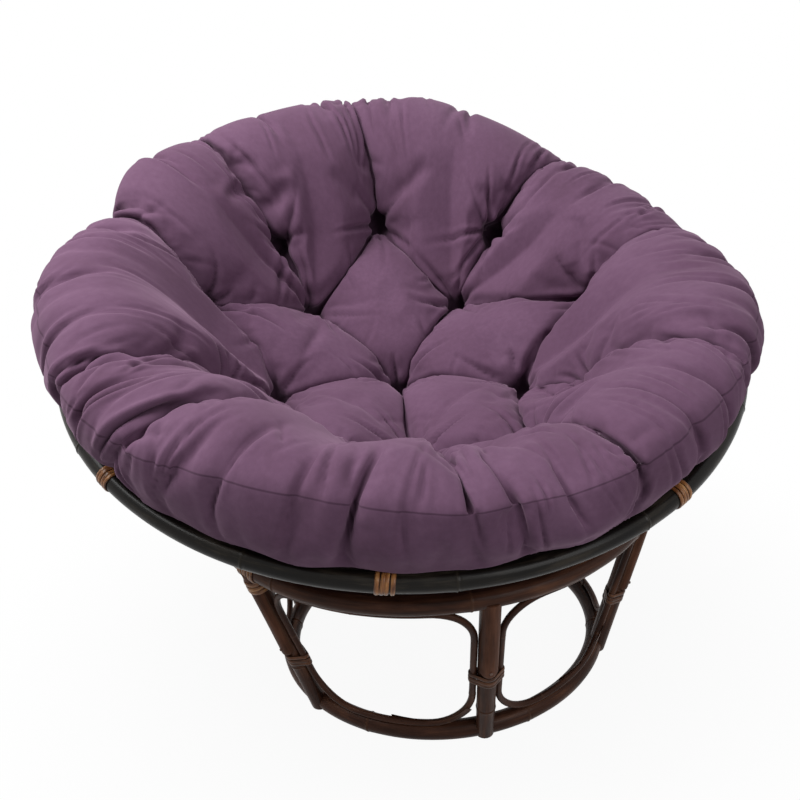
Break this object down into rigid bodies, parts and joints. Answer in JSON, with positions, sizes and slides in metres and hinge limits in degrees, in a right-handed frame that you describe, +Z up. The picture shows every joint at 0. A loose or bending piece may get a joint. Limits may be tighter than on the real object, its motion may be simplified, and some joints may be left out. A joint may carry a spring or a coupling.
{
  "type": "papasan chair",
  "caption": "Round rattan lounge chair: a ribbed bowl lies loose on a ring stand and tilts on it, and a thick tufted round cushion lies in the bowl and lifts out.",
  "frame": {"origin": "on the floor, under the middle of the whole chair's bounding box", "axes": "+Z up, the chair faces -Y, +X to the right of someone who looks at its front"},
  "size_m": [1.0764, 1.0398, 0.8352],
  "materials": {
    "rattan": "dark stained and lacquered rattan pole, satin",
    "split_rattan": "dark stained split rattan, satin",
    "stained_peel": "dark stained rattan peel, satin",
    "rattan_peel": "tan rattan peel, satin",
    "cushion_cotton": "plain woven cotton twill, matt"
  },
  "bodies": {
    "stand": {"base_ring": "rattan", "top_ring": "rattan", "leg_1": "rattan", "leg_2": "rattan", "leg_3": "rattan", "leg_4": "rattan", "leg_5": "rattan", "leg_6": "rattan", "leg_splint_1": "split_rattan", "leg_splint_2": "split_rattan", "leg_splint_3": "split_rattan", "leg_splint_4": "split_rattan", "leg_splint_5": "split_rattan", "leg_splint_6": "split_rattan", "window_loop_1": "rattan", "window_loop_2": "rattan", "window_loop_3": "rattan", "window_loop_4": "rattan", "window_loop_5": "rattan", "window_loop_6": "rattan", "leg_binding_1": "stained_peel", "leg_binding_2": "stained_peel", "leg_binding_3": "stained_peel", "leg_binding_4": "stained_peel", "leg_binding_5": "stained_peel", "leg_binding_6": "stained_peel", "top_ring_wrap": "rattan_peel"},
    "bowl": {"rim_ring": "rattan", "mid_hoop": "rattan", "bottom_hoop": "rattan", "rib_1": "rattan", "rib_2": "rattan", "rib_3": "rattan", "rib_4": "rattan", "rib_5": "rattan", "rib_6": "rattan", "rib_7": "rattan", "rib_8": "rattan", "rim_binding_1": "rattan_peel", "rim_binding_2": "rattan_peel", "rim_binding_3": "rattan_peel", "rim_binding_4": "rattan_peel", "rim_binding_5": "rattan_peel", "rim_binding_6": "rattan_peel", "rim_binding_7": "rattan_peel", "rim_binding_8": "rattan_peel"},
    "cushion": {"cushion": "cushion_cotton"}
  },
  "joints": [
    {"name": "bowl_tilt", "type": "hinge", "parent": "stand", "child": "bowl", "pos_m": [0.00625, -0.08011, 0.81028], "axis": [1, 0, 0], "range_deg": [-14.5, 4]},
    {"name": "cushion_lift", "type": "slide", "parent": "bowl", "child": "cushion", "axis": [0, -0.3338, 0.9426], "range_m": [0, 0.35]}
  ]
}
